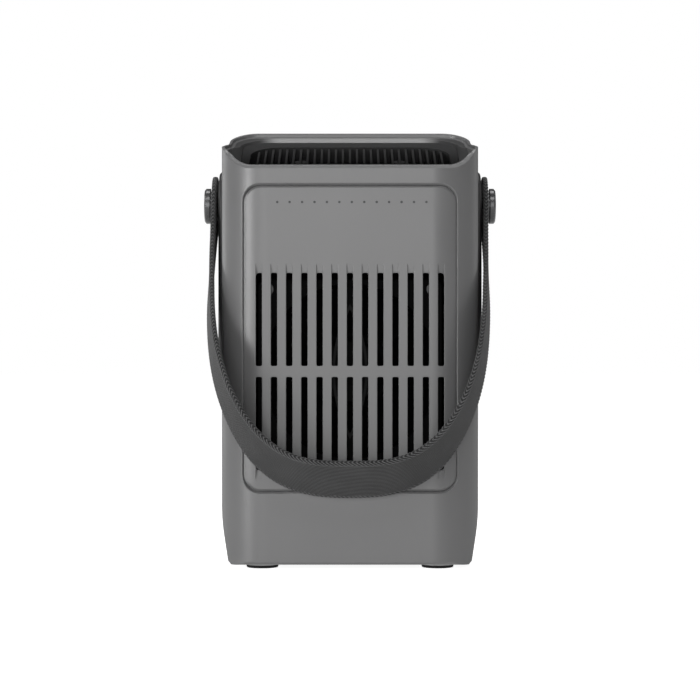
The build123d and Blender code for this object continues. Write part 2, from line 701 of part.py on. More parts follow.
def make_port():
    back = CASE_D / 2
    y0 = BOARD_Y + BOARD_T
    shell = extrude(Plane.XZ.offset(-back + 0.4) * plate(9.0, 3.4, 1.65, PORT_X, CONTROL_Z), back - 0.4 - y0)
    shell -= extrude(Plane.XZ.offset(-back) * plate(8.4, 2.8, 1.35, PORT_X, CONTROL_Z), back - y0 - 2.5)
    tongue = box(PORT_X - 3.2, PORT_X + 3.2, y0 + 2.4, back - 1.6, CONTROL_Z - 0.35, CONTROL_Z + 0.35)
    return shell + tongue


def make_dial_base():
    y0, y1 = BOARD_Y + BOARD_T, CASE_D / 2 - WALL - 0.4
    body = box(DIAL_X - 6, DIAL_X + 6, y0, y1, CONTROL_Z - 6, CONTROL_Z + 6)
    return body - rod(3.05, y0 + 3, y1 + 1, DIAL_X, CONTROL_Z)


def make_dial():
    back = CASE_D / 2
    y0 = back + 0.4
    body = rod(DIAL_R, y0, y0 + DIAL_T, DIAL_X, CONTROL_Z)
    for k in range(18):
        a = 2 * math.pi * k / 18
        body -= rod(0.55, y0 + 1.0, y0 + DIAL_T + 1, DIAL_X + DIAL_R * math.cos(a), CONTROL_Z + DIAL_R * math.sin(a))
    body -= box(DIAL_X - 0.5, DIAL_X + 0.5, y0 + DIAL_T - 0.5, y0 + DIAL_T + 1, CONTROL_Z + 2.5, CONTROL_Z + 7.0)
    return body + rod(3.0, BOARD_Y + BOARD_T + 3.2, y0, DIAL_X, CONTROL_Z)


def make_switch():
    y0 = BOARD_Y + BOARD_T
    return box(BUTTON_X - 4, BUTTON_X + 4, y0, y0 + 2.6, CONTROL_Z - 4, CONTROL_Z + 4)


def make_button():
    back = CASE_D / 2
    y0 = BOARD_Y + BOARD_T + 2.6 + BUTTON_TRAVEL + 0.1
    body = rod(BUTTON_R, y0 + 2.2, back + 2.0, BUTTON_X, CONTROL_Z)
    body -= rod(BUTTON_R - 1.6, back + 1.6, back + 3, BUTTON_X, CONTROL_Z) - rod(BUTTON_R - 2.4, back, back + 3, BUTTON_X, CONTROL_Z)
    body += rod(BUTTON_R + 1.0, y0 + 2.2, y0 + 3.4, BUTTON_X, CONTROL_Z)
    return body + rod(1.8, y0, y0 + 2.2, BUTTON_X, CONTROL_Z)


def make_leads():
    leads = None
    for dx in (0.0, 2.4):
        x = 48.0 + dx
        path = FilletPolyline((x, 26, 51.4), (x, 26, 150), (x, 37.2, 166 + dx), (44.0, 37.2, 166 + dx), radius=3)
        tube = sweep(Plane(origin=(x, 26, 51.4), z_dir=(0, 0, 1)) * Circle(0.75), path=path)
        leads = tube if leads is None else leads + tube
    return leads


PARTS = {
    "shell": make_shell,
    "base_plate": make_base,
    "front_panel": make_front_panel,
    "rear_panel": make_rear_panel,
    "rear_screws": make_rear_screws,
    "rim_funnel": make_funnel,
    "top_vent": make_vent,
    "foot_seats": make_seats,
    "fan_frame": make_fan_frame,
    "fan_screws": make_fan_screws,
    "spider": make_spider,
    "bearing_tube": make_tube,
    "stator": make_stator,
    "coils": make_coils,
    "motor_board": make_motor_board,
    "rotor_cup": make_rotor_cup,
    "magnet_ring": make_magnet,
    "fan_shaft": make_shaft,
    "impeller": make_impeller,
    "battery_cells": make_cells,
    "battery_tray": make_tray,
    "control_board": make_board,
    "board_parts": make_board_parts,
    "board_posts": make_board_posts,
    "power_inlet": make_port,
    "dial_base": make_dial_base,
    "speed_dial": make_dial,
    "switch_base": make_switch,
    "power_button": make_button,
    "leads": make_leads,
    "webbing": make_webbing,
}

if __name__ == "__main__":
    for name, make in PARTS.items():
        save(name, make())
    save("bearing_front", make_bearing(SPIDER_Y0 + 3.0))
    save("bearing_rear", make_bearing(-25.6 - BEARING_W))
    for tag, (x, y) in feet_places().items():
        save(f"foot_{tag}", make_foot(x, y))
    for tag, side in (("l", -1), ("r", 1)):
        save(f"side_plate_{tag}", make_side_plate(side))
        save(f"pivot_bush_{tag}", make_bush(side))
        save(f"pivot_knob_{tag}", make_knob(side))
        save(f"pivot_nut_{tag}", make_nut(side))
        save(f"eyelet_{tag}", make_eyelet(side))
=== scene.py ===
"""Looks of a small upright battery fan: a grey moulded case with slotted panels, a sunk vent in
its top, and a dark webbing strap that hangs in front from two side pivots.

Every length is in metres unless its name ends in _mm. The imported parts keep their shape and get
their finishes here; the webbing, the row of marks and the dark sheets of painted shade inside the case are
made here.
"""

import logging
import math
from dataclasses import dataclass, field
from enum import Enum
from typing import Any

import bpy
import numpy as np
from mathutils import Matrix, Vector


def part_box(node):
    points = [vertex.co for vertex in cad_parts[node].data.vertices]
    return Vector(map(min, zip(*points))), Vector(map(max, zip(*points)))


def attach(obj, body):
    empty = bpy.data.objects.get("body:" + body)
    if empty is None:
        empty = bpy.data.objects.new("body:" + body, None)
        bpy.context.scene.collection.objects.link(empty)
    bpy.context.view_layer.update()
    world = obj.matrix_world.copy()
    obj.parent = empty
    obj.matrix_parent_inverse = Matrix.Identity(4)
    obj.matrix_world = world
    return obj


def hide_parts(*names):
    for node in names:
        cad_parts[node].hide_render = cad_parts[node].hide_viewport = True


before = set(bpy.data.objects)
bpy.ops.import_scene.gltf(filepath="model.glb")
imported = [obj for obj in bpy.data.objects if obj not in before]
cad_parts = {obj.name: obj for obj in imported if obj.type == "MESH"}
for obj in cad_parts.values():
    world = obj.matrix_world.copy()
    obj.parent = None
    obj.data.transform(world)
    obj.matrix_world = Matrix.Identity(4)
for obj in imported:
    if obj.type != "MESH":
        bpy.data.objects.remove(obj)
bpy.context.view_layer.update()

MM = 0.001
CORNER_RADIUS = 15.0 * MM  # the case's upright corners
INNER_CORNER_RADIUS = 12.1 * MM  # the same corners just inside the walls
INSIDE_SHADE_TOP = 198.5 * MM  # painted shade darkens the inside of the case below this height
LOG = logging.getLogger("fan")
Numbers = np.ndarray
Colour = tuple[float, float, float]


# ------------------------------------------------------------------ shader tools
class Wire:
    """A shader socket, or a plain number, that adds Math nodes when it is used in an expression."""

    def __init__(self, paint: "Paint", source: Any) -> None:
        """Keeps the material being made and the socket or number."""
        self.paint = paint
        self.source = source

    def _math(self, operation: str, *values: Any, clamp: bool = False) -> "Wire":
        """Adds one Math node.

        Args:
            operation: the Math node's operation.
            values: wires or numbers for its inputs, in order.
            clamp: whether the result is held between 0 and 1.

        Returns:
            The wire of its result.
        """
        settings = {"operation": operation, "use_clamp": clamp}
        return self.paint.node("ShaderNodeMath", settings, dict(enumerate(values)))

    def __add__(self, other: Any) -> "Wire":
        """self + other."""
        return self._math("ADD", self, other)

    __radd__ = __add__

    def __sub__(self, other: Any) -> "Wire":
        """self - other."""
        return self._math("SUBTRACT", self, other)

    def __rsub__(self, other: Any) -> "Wire":
        """other - self."""
        return self._math("SUBTRACT", other, self)

    def __mul__(self, other: Any) -> "Wire":
        """self * other."""
        return self._math("MULTIPLY", self, other)

    __rmul__ = __mul__

    def __pow__(self, other: Any) -> "Wire":
        """self to the power of other."""
        return self._math("POWER", self, other)

    def __abs__(self) -> "Wire":
        """The size of self without its sign."""
        return self._math("ABSOLUTE", self)

    def __lt__(self, other: Any) -> "Wire":
        """1 where self is less than other, else 0."""
        return self._math("LESS_THAN", self, other)

    def sin(self) -> "Wire":
        """The sine of self."""
        return self._math("SINE", self)

    def root(self) -> "Wire":
        """The square root of self."""
        return self._math("SQRT", self)

    def sign(self) -> "Wire":
        """-1, 0 or 1 by the sign of self."""
        return self._math("SIGN", self)

    def least(self, floor: float) -> "Wire":
        """self, but never less than floor."""
        return self._math("MAXIMUM", self, floor)

    def held(self) -> "Wire":
        """self, held between 0 and 1."""
        return self._math("ADD", self, 0.0, clamp=True)

    def step(self, low: float, high: float) -> "Wire":
        """A smooth rise from 0 at low to 1 at high.

        Args:
            low: where the rise starts.
            high: where it ends.

        Returns:
            The wire of the rise.
        """
        settings = {"interpolation_type": "SMOOTHSTEP"}
        inputs = {0: self, 1: low, 2: high, 3: 0.0, 4: 1.0}
        return self.paint.node("ShaderNodeMapRange", settings, inputs)


class Paint:
    """One material, or one world, being made: it adds nodes and wires them."""

    def __init__(self, name: str, world: bool = False) -> None:
        """Starts an empty node material, or world, of that name."""
        self.material = (bpy.data.worlds if world else bpy.data.materials).new(name)
        self.material.use_nodes = True
        self.tree = self.material.node_tree
        self.tree.nodes.clear()

    def node(
        self, kind: str, settings: dict[str, Any], inputs: dict[Any, Any], output: Any = 0
    ) -> Wire:
        """Adds a node.

        Args:
            kind: the node's type.
            settings: its properties, set before its inputs.
            inputs: wires or constant values by input name or number.
            output: the name or number of the output that is wanted, or None for a node without outputs.

        Returns:
            The wire of that output.
        """
        made = self.tree.nodes.new(kind)
        for key, value in settings.items():
            setattr(made, key, value)
        for key, value in inputs.items():
            socket = made.inputs[key]
            if isinstance(value, Wire) and isinstance(value.source, bpy.types.NodeSocket):
                self.tree.links.new(value.source, socket)
            else:
                value = value.source if isinstance(value, Wire) else value
                if isinstance(value, tuple) and len(value) == 3 and socket.type == "RGBA":
                    value = (*value, 1.0)
                socket.default_value = value
        return Wire(self, None if output is None else made.outputs[output])

    def place(self) -> Wire:
        """The position on the piece, in metres."""
        return self.node("ShaderNodeTexCoord", {}, {}, "Object")

    def axes(self) -> tuple[Wire, Wire, Wire]:
        """The X, Y and Z of the position, in metres."""
        parts = self.node("ShaderNodeSeparateXYZ", {}, {0: self.place()})
        outputs = parts.source.node.outputs
        return tuple(Wire(self, outputs[i]) for i in range(3))

    def noise(self, size: float, detail: float = 2.0, stretch: Colour = (1.0, 1.0, 1.0)) -> Wire:
        """Soft random mottling.

        Args:
            size: the rough size of one patch, in metres.
            detail: how many finer layers it has.
            stretch: how much denser it is along X, Y and Z.

        Returns:
            The wire of a value near 0.5.
        """
        at = self.place()
        if stretch != (1.0, 1.0, 1.0):
            at = self.node("ShaderNodeVectorMath", {"operation": "MULTIPLY"}, {0: at, 1: stretch})
        inputs = {"Vector": at, "Scale": 1 / size, "Detail": detail, "Roughness": 0.55}
        return self.node("ShaderNodeTexNoise", {}, inputs)

    def blend(self, amount: Any, first: Any, second: Any) -> Wire:
        """A mix of two colours.

        Args:
            amount: 0 gives the first, 1 the second.
            first: a colour or wire.
            second: a colour or wire.

        Returns:
            The wire of the mixed colour.
        """
        return self.node("ShaderNodeMix", {"data_type": "RGBA"}, {0: amount, 6: first, 7: second}, 2)

    def bump(self, height: Any, depth: float, strength: float, base: Wire | None = None) -> Wire:
        """Relief from a height.

        Args:
            height: the wire of the height, 0 to 1.
            depth: the height of 1, in metres.
            strength: how strongly it shows.
            base: the normal that it starts from.

        Returns:
            The wire of the new normal.
        """
        inputs = {"Height": height, "Distance": depth, "Strength": strength}
        if base is not None:
            inputs["Normal"] = base
        return self.node("ShaderNodeBump", {}, inputs)

    def soft_edges(self, radius: float) -> tuple[Wire, Wire]:
        """Rounded edges and a mask of where they are.

        Args:
            radius: how far the rounding reaches, in metres.

        Returns:
            The rounded normal, and a value that is 1 on sharp edges and 0 elsewhere.
        """
        rounded = self.node("ShaderNodeBevel", {"samples": 6}, {"Radius": radius})
        flat = self.node("ShaderNodeNewGeometry", {}, {}, "Normal")
        settings = {"operation": "DOT_PRODUCT"}
        same = self.node("ShaderNodeVectorMath", settings, {0: rounded, 1: flat}, "Value")
        return rounded, ((1.0 - same) * 5.0).held()

    def surface(self, inputs: dict[str, Any]) -> bpy.types.Material:
        """Ends the material with one shader.

        Args:
            inputs: wires or constants of the shader's sockets.

        Returns:
            The finished material.
        """
        self.ends(self.node("ShaderNodeBsdfPrincipled", {}, inputs))
        return self.material

    def ends(self, shader: Wire, output: str = "ShaderNodeOutputMaterial") -> None:
        """Sends a shader to the output node of that type."""
        self.node(output, {}, {"Surface": shader}, None)


# ------------------------------------------------------------------ finishes
@dataclass(frozen=True)
class Moulded:
    """Moulded plastic or rubber: fine spark grain, faint mottling and edges worn a little lighter;
    optionally painted shade that darkens the hollow inside of the case, and a painted shadow that darkens
    it towards the front.
    """

    name: str
    colour: Colour
    roughness: float = 0.5
    grain_mm: float = 0.35
    relief_mm: float = 0.012
    edge_mm: float = 0.35
    wear: float = 0.25
    specular: float = 0.5
    inside_shade: Colour | None = None
    painted_front_shadow: tuple[float, float] | None = None

    def make(self) -> bpy.types.Material:
        """Makes the material."""
        paint = Paint(self.name)
        grain = paint.noise(self.grain_mm * MM, 1.0)
        mottle = paint.noise(0.022, 2.0)
        rounded, edge = paint.soft_edges(self.edge_mm * MM)
        dark = tuple(c * 0.93 for c in self.colour)
        light = tuple(min(c * 1.07, 1.0) for c in self.colour)
        worn = tuple(min(c * 1.35 + 0.01, 1.0) for c in self.colour)
        base = paint.blend(mottle * 0.6 + grain * 0.4, dark, light)
        base = paint.blend(edge * self.wear, base, worn)
        # painted shade: the hollow inside of the case is blended to a near-black shade colour
        if self.inside_shade is not None:
            base = paint.blend(painted_inside_shade_mask(paint), base, self.inside_shade)
        # painted shadow: the vent fins darken to near black towards the front, where the front wall shades
        # them
        if self.painted_front_shadow is not None:
            base = paint.blend(paint.axes()[1].step(*self.painted_front_shadow), (0.001, 0.001, 0.001), base)
        rough = self.roughness + (grain - 0.5) * 0.16 + (mottle - 0.5) * 0.1 - edge * 0.06
        if self.inside_shade is not None:
            rounded = eased_corners(paint, rounded)
        normal = paint.bump(grain, self.relief_mm * MM, 0.6, rounded)
        return paint.surface(
            {"Base Color": base, "Roughness": rough, "Normal": normal, "Specular IOR Level": self.specular}
        )


@dataclass(frozen=True)
class Metal:
    """Metal with fine turning or brushing lines."""

    name: str
    colour: Colour
    roughness: float
    metallic: float = 1.0
    lines_mm: float = 0.12
    edge_mm: float = 0.3
    coat: float = 0.0

    def make(self) -> bpy.types.Material:
        """Makes the material."""
        paint = Paint(self.name)
        lines = paint.noise(self.lines_mm * MM, 1.0, (1.0, 0.12, 0.12))
        smear = paint.noise(0.006, 3.0)
        rounded, edge = paint.soft_edges(self.edge_mm * MM)
        dark = tuple(c * 0.88 for c in self.colour)
        light = tuple(min(c * 1.1, 1.0) for c in self.colour)
        worn = tuple(min(c * 1.5 + 0.02, 1.0) for c in self.colour)
        base = paint.blend(smear * 0.5 + lines * 0.5, dark, light)
        base = paint.blend(edge * 0.35, base, worn)
        rough = self.roughness + (lines - 0.5) * 0.18 + (smear - 0.5) * 0.16
        normal = paint.bump(lines, 0.006 * MM, 0.5, rounded)
        return paint.surface(
            {
                "Base Color": base,
                "Roughness": rough,
                "Metallic": self.metallic,
                "Normal": normal,
                "Coat Weight": self.coat,
            }
        )


@dataclass(frozen=True)
class Wound:
    """Enamelled copper wire laid in close turns."""

    name: str
    colour: Colour
    wire_mm: float = 0.6

    def make(self) -> bpy.types.Material:
        """Makes the material: the turns are sine ridges across the depth of the coil, with painted shade
        in the grooves between them.
        """
        paint = Paint(self.name)
        _, deep, high = paint.axes()
        turns = ((deep + high * 0.08) * (2 * math.pi / (self.wire_mm * MM))).sin() * 0.5 + 0.5
        stain = paint.noise(0.004, 2.0)
        dark = tuple(c * 0.35 for c in self.colour)
        # painted shade: the colour is darker in the grooves between turns
        base = paint.blend(turns * 0.75 + stain * 0.25, dark, self.colour)
        normal = paint.bump(turns, 0.15 * MM, 0.8)
        rough = 0.3 + stain * 0.15
        return paint.surface(
            {"Base Color": base, "Roughness": rough, "Metallic": 0.85, "Normal": normal}
        )


@dataclass(frozen=True)
class Board:
    """Lacquered circuit board with faint copper tracks under the lacquer."""

    name: str
    colour: Colour

    def make(self) -> bpy.types.Material:
        """Makes the material: tracks are thin bands along the borders of uneven cells."""
        paint = Paint(self.name)
        cells = paint.node(
            "ShaderNodeTexVoronoi",
            {"feature": "DISTANCE_TO_EDGE", "distance": "EUCLIDEAN"},
            {"Vector": paint.place(), "Scale": 260.0, "Randomness": 0.35},
        )
        track = 1.0 - cells.step(0.06, 0.12)
        cloth = paint.noise(0.0009, 1.0)
        light = tuple(c * 1.8 + 0.01 for c in self.colour)
        base = paint.blend(track, self.colour, light)
        rough = 0.3 + cloth * 0.15
        normal = paint.bump(track, 0.03 * MM, 0.7)
        return paint.surface(
            {"Base Color": base, "Roughness": rough, "Normal": normal, "Coat Weight": 0.4}
        )


@dataclass(frozen=True)
class Yarn:
    """Spun polyester yarn with stray fibres: painted highlight on the crowns and painted shade in the gaps
    between them.
    """

    name: str
    gap_shade: Colour
    crown_highlight: Colour
    sharp: float = 1.3

    def make(self) -> bpy.types.Material:
        """Makes the material from the mesh's "yarn" height and its "weave" map."""
        paint = Paint(self.name)
        height = paint.node("ShaderNodeAttribute", {"attribute_name": "yarn"}, {}, "Fac")
        weave = paint.node("ShaderNodeUVMap", {"uv_map": "weave"}, {})
        split = paint.node("ShaderNodeSeparateXYZ", {}, {0: weave})
        along = Wire(paint, split.source.node.outputs[0])
        across = Wire(paint, split.source.node.outputs[1])
        drawn = {0: weave, 1: (900.0, 5200.0, 1.0)}
        drawn = paint.node("ShaderNodeVectorMath", {"operation": "MULTIPLY"}, drawn)
        inputs = {"Vector": drawn, "Scale": 1.0, "Detail": 2.0}
        fibre = paint.node("ShaderNodeTexNoise", {}, inputs)
        pick = 0.82 * MM
        picks = ((along + across * 0.25) * (2 * math.pi / pick)).sin() * 0.5 + 0.5
        worn = paint.noise(0.012, 3.0)
        # painted highlight on the crowns and painted shade in the gaps, with random fibre and wear tone on
        # top
        crest = height ** self.sharp
        tone = (crest * (0.62 + picks * 0.38) + (fibre - 0.5) * 0.5 + (worn - 0.5) * 0.25).held()
        base = paint.blend(tone, self.gap_shade, self.crown_highlight)
        normal = paint.bump(fibre * 0.5 + picks * 0.5, 0.09 * MM, 0.7)
        return paint.surface(
            {
                "Base Color": base,
                "Roughness": 0.72 + (fibre - 0.5) * 0.2,
                "Normal": normal,
                "Specular IOR Level": 0.35,
                "Sheen Weight": 0.12,
                "Sheen Roughness": 0.5,
            }
        )


def corner_reach(paint: Paint, radius: float) -> tuple[Wire, Wire]:
    """How far a point is past the centres of the case's rounded corners.

    Args:
        paint: the material being made.
        radius: the corner radius that the centres belong to, in metres.

    Returns:
        The distances along X and Y, 0 between the centres, with the sign of the side.
    """
    low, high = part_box("shell")
    x, y, _ = paint.axes()
    y = y - (low.y + high.y) / 2
    past_x = (abs(x) - (high.x - radius)).least(0.0) * x.sign()
    past_y = (abs(y) - ((high.y - low.y) / 2 - radius)).least(0.0) * y.sign()
    return past_x, past_y


def painted_inside_shade_mask(paint: Paint) -> Wire:
    """Where the hollow inside of the case is, which the painted shade darkens.

    Args:
        paint: the material being made.

    Returns:
        1 within the case walls and below the sunk vent, else 0.
    """
    past_x, past_y = corner_reach(paint, CORNER_RADIUS)
    _, _, z = paint.axes()
    return ((past_x * past_x + past_y * past_y).root() < INNER_CORNER_RADIUS) * (z < INSIDE_SHADE_TOP)


def eased_corners(paint: Paint, normal: Wire, radius: float = 24 * MM) -> Wire:
    """Starts the turn of the case's upright corners a little before their arcs, as a flowing corner does.

    The direction of a wider rounded rectangle is worked out, and its difference from the face's own
    direction is added, only on upright faces that look outwards.

    Args:
        paint: the material being made.
        normal: the normal so far.
        radius: the corner radius that the eased direction follows, in metres.

    Returns:
        The wire of the eased normal.
    """
    past_x, past_y = corner_reach(paint, radius)
    vector = "ShaderNodeVectorMath"
    wide = paint.node("ShaderNodeCombineXYZ", {}, {0: past_x, 1: past_y})
    wide = paint.node(vector, {"operation": "NORMALIZE"}, {0: wide})
    flat = paint.node("ShaderNodeNewGeometry", {}, {}, "Normal")
    facing = paint.node(vector, {"operation": "DOT_PRODUCT"}, {0: wide, 1: flat}, "Value")
    change = paint.node(vector, {"operation": "SUBTRACT"}, {0: wide, 1: flat})
    change = paint.node(vector, {"operation": "SCALE"}, {0: change, "Scale": facing.step(0.82, 0.93)})
    eased = paint.node(vector, {"operation": "ADD"}, {0: normal, 1: change})
    return paint.node(vector, {"operation": "NORMALIZE"}, {0: eased})


@dataclass(frozen=True)
class Well:
    """The funnel round the sunk vent: case grey on its far wall, with painted shade darkening its
    two ends and its front part."""

    name: str
    colour: Colour = (0.325, 0.325, 0.326)
    # deep: the near black of the painted shade
    deep: Colour = (0.014, 0.014, 0.0145)

    def make(self) -> bpy.types.Material:
        """Makes the material: the painted shade rises with the distance from the middle, and falls to the
        back.
        """
        paint = Paint(self.name)
        grain = paint.noise(0.3 * MM, 1.0)
        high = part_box("rim_funnel")[1]
        x, y, _ = paint.axes()
        ends = abs(x).step(38 * MM, 50 * MM)
        front = 1.0 - y.step(high.y - 15 * MM, high.y - 4 * MM)
        rounded, edge = paint.soft_edges(0.5 * MM)
        # painted shade: the funnel's ends and front, facing away from the lights, blend to near black
        painted_shade = (ends + front - ends * front).held()
        base = paint.blend(painted_shade * 0.96, self.colour, self.deep)
        base = paint.blend(edge * 0.2, base, (0.28, 0.28, 0.281))
        base = paint.blend(grain * 0.12, base, (0.01, 0.01, 0.01))
        normal = paint.bump(grain, 0.008 * MM, 0.6, rounded)
        rough = 0.42 + (grain - 0.5) * 0.15
        return paint.surface({"Base Color": base, "Roughness": rough, "Normal": normal})


@dataclass(frozen=True)
class Bowed:
    """The guard behind the slots: a grey tone on its two bowed struts, black on the rest."""

    name: str
    colour: Colour = (0.014, 0.014, 0.0142)
    rest: Colour = (0.001, 0.001, 0.001)
    bow_mm: float = 70.0
    half_height_mm: float = 34.0
    width_mm: float = 1.3

    def make(self) -> bpy.types.Material:
        """Makes the material: a strut is where the distance from the bow's centre is its radius."""
        paint = Paint(self.name)
        low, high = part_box("spider")
        x, _, z = paint.axes()
        across = abs(x) + math.sqrt(self.bow_mm**2 - self.half_height_mm**2) * MM
        up = z - (low.z + high.z) / 2
        far = (across * across + up * up).root()
        strut = abs(far - (self.bow_mm - self.width_mm / 2) * MM) < self.width_mm / 2 * MM
        grain = paint.noise(0.4 * MM, 1.0)
        base = paint.blend(strut * (grain * 0.2 + 0.8), self.rest, self.colour)
        rounded, _ = paint.soft_edges(0.3 * MM)
        normal = paint.bump(grain, 0.01 * MM, 0.6, rounded)
        rough = 0.75 + (grain - 0.5) * 0.1
        return paint.surface(
            {"Base Color": base, "Roughness": rough, "Normal": normal, "Specular IOR Level": 0.06}
        )


# the near black painted on the inside of the case as shade
INSIDE_SHADE = (0.003, 0.003, 0.003)
# the Y range, in metres, over which the painted shadow on the vent fins fades out towards the back
FIN_PAINTED_SHADOW = (0.01, 0.046)


class Finish(Enum):
    """The finish of each material slot of the record."""

    CASE = (
        "case_plastic",
        Moulded("case_grey", (0.132, 0.132, 0.133), 0.36, 0.3, 0.007, 0.55, 0.3, 0.65, INSIDE_SHADE),
    )
    VENT = (
        "vent_plastic",
        Moulded(
            "vent_charcoal", (0.034, 0.034, 0.0345), 0.55, 0.3, 0.01, 0.3, 0.2, 0.06, None, FIN_PAINTED_SHADOW
        ),
    )
    PLATE = (
        "plate_plastic",
        Moulded("plate_charcoal", (0.022, 0.022, 0.0225), 0.5, 0.4, 0.015, 0.6, 0.25),
    )
    BLACK = (
        "black_plastic",
        Moulded("inner_black", (0.0018, 0.0018, 0.0019), 0.85, 0.4, 0.012, 0.3, 0.1, 0.06),
    )
    KNOB = ("dark_metal", Metal("knob_coat", (0.09, 0.09, 0.092), 0.29, 0.7, 0.15, 0.6, 0.1))
    LENS = ("lens_grey", Bowed("lens_grey"))
    # painted shade: the fan's steel parts inside the case are coloured near black so the inside reads as
    # shade
    HIDDEN = (
        "hidden_steel",
        Moulded("steel_in_painted_shade", (0.001, 0.001, 0.001), 0.9, 0.4, 0.008, 0.3, 0.0, 0.03),
    )
    OUTER = (
        "outer_black",
        Moulded("outer_black", (0.012, 0.012, 0.0125), 0.5, 0.4, 0.012, 0.4, 0.25),
    )
    WELL = ("well_grey", Well("well_grey"))
    STEEL = ("steel", Metal("bright_steel", (0.55, 0.55, 0.56), 0.3))
    SEAT = ("seat_plastic", Moulded("seat_light", (0.5, 0.5, 0.5), 0.45, 0.3, 0.01, 0.3, 0.15))
    FOOT = (
        "foot_rubber",
        Moulded("foot_rubber", (0.014, 0.014, 0.014), 0.8, 0.5, 0.02, 0.4, 0.3, 0.3),
    )
    COPPER = ("copper", Wound("coil_wire", (0.62, 0.25, 0.1)))
    MAGNET = ("magnet", Metal("magnet_block", (0.12, 0.12, 0.12), 0.5, 0.8, 0.3))
    CELL = ("cell_wrap", Moulded("cell_wrap", (0.05, 0.13, 0.2), 0.32, 0.8, 0.01, 0.3, 0.1))
    CIRCUIT = ("circuit", Board("board_green", (0.012, 0.06, 0.028)))
    CHIP = ("chip", Moulded("chip_black", (0.014, 0.014, 0.015), 0.55, 0.2, 0.008, 0.15, 0.2))
    LEAD = ("lead_skin", Moulded("lead_red", (0.25, 0.02, 0.018), 0.4, 0.6, 0.01, 0.2, 0.1))

    def dress(self, made: dict[str, bpy.types.Material]) -> bpy.types.Material:
        """The material of this finish, made once.

        Args:
            made: the materials made so far, by slot.

        Returns:
            The material.
        """
        slot, recipe = self.value
        if slot not in made:
            made[slot] = recipe.make()
        return made[slot]


# ------------------------------------------------------------------ mesh tools
def skin(
    name: str, points: Numbers, closed_u: bool, closed_v: bool, caps: bool = False
) -> bpy.types.Object:
    """Makes a mesh from a grid of points.

    Args:
        name: the piece's name.
        points: an array of rows x columns x 3, in metres.
        closed_u: whether the last row joins the first.
        closed_v: whether the last column joins the first.
        caps: whether the first and last rows are filled with a face each.

    Returns:
        The new object, with smooth faces that point along (rows x columns).
    """
    rows, columns = points.shape[:2]
    index = np.arange(rows * columns).reshape(rows, columns)
    a = index if closed_u else index[:-1]
    b = np.roll(index, -1, 0) if closed_u else index[1:]
    if closed_v:
        a2, b2 = np.roll(a, -1, 1), np.roll(b, -1, 1)
    else:
        a, a2, b, b2 = a[:, :-1], a[:, 1:], b[:, :-1], b[:, 1:]
    quads = np.stack([a, b, b2, a2], -1).reshape(-1, 4)
    faces: list[Any] = quads.tolist()
    if caps:
        faces += [index[0].tolist(), index[-1][::-1].tolist()]
    mesh = bpy.data.meshes.new(name)
    mesh.from_pydata(points.reshape(-1, 3).tolist(), [], faces)
    mesh.polygons.foreach_set("use_smooth", np.ones(len(faces), bool))
    mesh.update()
    piece = bpy.data.objects.new(name, mesh)
    bpy.context.scene.collection.objects.link(piece)
    return piece


def note(piece: bpy.types.Object, yarn: Numbers, along: Numbers, across: Numbers) -> None:
    """Stores the weave on a mesh.

    Args:
        piece: the object.
        yarn: each vertex's yarn height, 0 to 1.
        along: each vertex's distance along the webbing, in metres.
        across: each vertex's distance across it, in metres.
    """
    mesh = piece.data
    heights = mesh.attributes.new("yarn", "FLOAT", "POINT").data
    heights.foreach_set("value", yarn.ravel().astype(np.float32))
    corner = np.zeros(len(mesh.loops), np.int32)
    mesh.loops.foreach_get("vertex_index", corner)
    pairs = np.stack([along.ravel()[corner], across.ravel()[corner]], -1)
    mesh.uv_layers.new(name="weave").data.foreach_set("uv", pairs.ravel().astype(np.float32))


